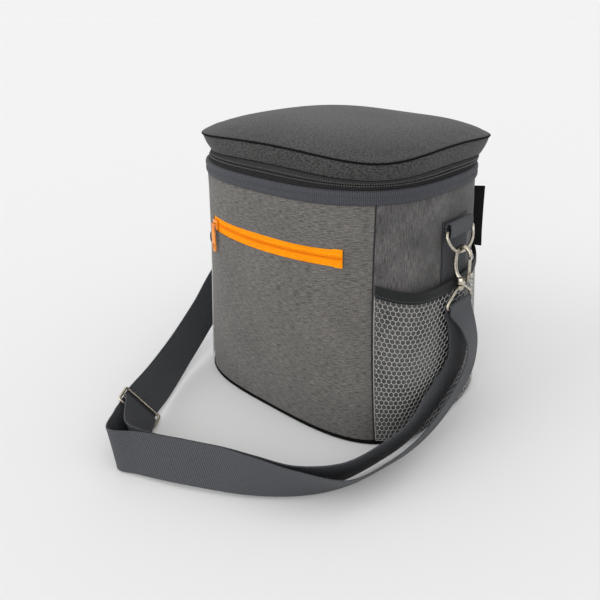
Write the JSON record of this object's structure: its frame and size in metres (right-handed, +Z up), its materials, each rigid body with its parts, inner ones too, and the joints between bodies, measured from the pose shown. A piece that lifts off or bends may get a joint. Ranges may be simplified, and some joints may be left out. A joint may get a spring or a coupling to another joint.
{
  "type": "insulated cooler bag",
  "caption": "Soft insulated cooler bag with a domed zipped lid, a zipped front pocket, mesh side pockets and an adjustable webbing shoulder strap on snap hooks.",
  "frame": {"origin": "centre of the flat underside of the base, where the bag rests", "axes": "+Z up, the front with the zipped pocket faces -Y, the bag's right side faces +X"},
  "size_m": [0.3375, 0.3905, 0.2921],
  "materials": {
    "body_fabric": "heather grey woven polyester",
    "lid_fabric": "charcoal heather woven polyester",
    "webbing": "slate ribbed webbing",
    "binding_slate": "slate ribbed binding tape",
    "binding_black": "black elastic binding",
    "base_fabric": "black coated polyester",
    "piping": "black corded edge",
    "welt": "charcoal corded seam",
    "mesh": "open hexagonal knit mesh",
    "foam": "closed-cell foam",
    "lining": "silver foil lining",
    "zip_black": "black zip tape",
    "coil_black": "black nylon coil",
    "slider_black": "black enamel",
    "zip_orange": "orange zip tape",
    "coil_orange": "orange nylon coil",
    "slider_orange": "orange enamel",
    "nickel": "pale nickel plate",
    "label": "plain black woven tab"
  },
  "bodies": {
    "bag": {"base_panel": "base_fabric", "base_piping": "piping", "base_foam": "foam", "right_panel": "body_fabric", "back_panel": "body_fabric", "left_panel": "body_fabric", "front_panel": "body_fabric", "right_foam": "foam", "back_foam": "foam", "left_foam": "foam", "front_foam": "foam", "inner_lining": "lining", "rim_binding": "binding_slate", "main_zip_lower_tape": "zip_black", "main_zip_lower_coil": "coil_black", "lid_hinge_strip": "lid_fabric", "pocket_zip_upper_tape": "zip_orange", "pocket_zip_lower_tape": "zip_orange", "pocket_zip_coil": "coil_orange", "pocket_lining": "base_fabric", "strap_upper_run": "webbing", "strap_outer_run": "webbing", "strap_inner_run": "webbing", "side_label": "label", "right_mesh_pocket": "mesh", "right_mesh_binding": "binding_black", "right_webbing_strip": "webbing", "right_ring_loop": "webbing", "left_mesh_pocket": "mesh", "left_mesh_binding": "binding_black", "left_webbing_strip": "webbing", "left_ring_loop": "webbing"},
    "lid": {"lid_top_panel": "lid_fabric", "lid_gusset": "lid_fabric", "lid_welt": "welt", "lid_foam": "foam", "lid_lining": "lining", "main_zip_upper_tape": "zip_black", "main_zip_upper_coil": "coil_black"},
    "main_slider": {"main_zip_slider": "slider_black"},
    "main_pull": {"main_zip_pull": "slider_black"},
    "pocket_slider": {"pocket_zip_slider": "slider_orange"},
    "pocket_pull": {"pocket_zip_pull": "slider_orange"},
    "adjuster": {"strap_adjuster": "nickel"},
    "right_ring": {"right_ring": "nickel"},
    "right_hook": {"right_hook": "nickel"},
    "right_gate": {"right_hook_gate": "nickel"},
    "right_eye": {"right_swivel_eye": "nickel"},
    "left_ring": {"left_ring": "nickel"},
    "left_hook": {"left_hook": "nickel"},
    "left_gate": {"left_hook_gate": "nickel"},
    "left_eye": {"left_swivel_eye": "nickel"}
  },
  "joints": [
    {"name": "lid_hinge", "type": "hinge", "parent": "bag", "child": "lid", "pos_m": [0, 0.1215, 0.2556], "axis": [-1, 0, 0], "range_deg": [0, 110]},
    {"name": "main_zip_travel", "type": "hinge", "parent": "bag", "child": "main_slider", "pos_m": [0.1, 0.0035, 0.2555], "axis": [0, 0, 1], "range_deg": [0, 27]},
    {"name": "main_pull_flip", "type": "hinge", "parent": "main_slider", "child": "main_pull", "pos_m": [-0.13033, 0.05245, 0.25554], "axis": [0.2079, 0.9781, 0], "range_deg": [0, 150]},
    {"name": "pocket_zip_travel", "type": "hinge", "parent": "bag", "child": "pocket_slider", "pos_m": [0, 0.1376, 0.19], "axis": [0, 0, 1], "range_deg": [0, 33.5]},
    {"name": "pocket_pull_flip", "type": "hinge", "parent": "pocket_slider", "child": "pocket_pull", "pos_m": [-0.07075, -0.11581, 0.19], "axis": [-0.9632, 0.2689, 0], "range_deg": [0, 150]},
    {"name": "strap_adjuster_travel", "type": "slide", "parent": "bag", "child": "adjuster", "axis": [0.5399, -0.8358, -0.1], "range_m": [-0.02, 0.004], "deforming": ["strap_upper_run", "strap_outer_run", "strap_inner_run"]},
    {"name": "right_ring_swing", "type": "hinge", "parent": "bag", "child": "right_ring", "pos_m": [0.1394, 0.005, 0.2025], "axis": [0, -1, 0], "range_deg": [0, 70], "deforming": ["strap_outer_run", "strap_inner_run"]},
    {"name": "right_hook_rock", "type": "hinge", "parent": "right_ring", "child": "right_hook", "pos_m": [0.14614, 0.002, 0.18114], "axis": [0, -1, 0], "range_deg": [0, 40]},
    {"name": "right_gate_open", "type": "hinge", "parent": "right_hook", "child": "right_gate", "pos_m": [0.1546, 0.002, 0.1537], "axis": [0, -1, 0], "range_deg": [0, 22], "stiffness_Nm_per_rad": 0.02, "springref_deg": -17.19},
    {"name": "right_eye_swivel", "type": "hinge", "parent": "right_hook", "child": "right_eye", "pos_m": [0.147, 0.002, 0.1445], "axis": [0, 0, 1], "range_deg": [-5, 5]},
    {"name": "left_ring_swing", "type": "hinge", "parent": "bag", "child": "left_ring", "pos_m": [-0.1394, 0.005, 0.2025], "axis": [0, 1, 0], "range_deg": [0, 70], "deforming": ["strap_upper_run"]},
    {"name": "left_hook_rock", "type": "hinge", "parent": "left_ring", "child": "left_hook", "pos_m": [-0.14614, 0.002, 0.18114], "axis": [0, 1, 0], "range_deg": [0, 40]},
    {"name": "left_gate_open", "type": "hinge", "parent": "left_hook", "child": "left_gate", "pos_m": [-0.1546, 0.002, 0.1537], "axis": [0, 1, 0], "range_deg": [0, 22], "stiffness_Nm_per_rad": 0.02, "springref_deg": -17.19},
    {"name": "left_eye_swivel", "type": "hinge", "parent": "left_hook", "child": "left_eye", "pos_m": [-0.147, 0.002, 0.1445], "axis": [0, 0, 1], "range_deg": [-5, 5]}
  ]
}
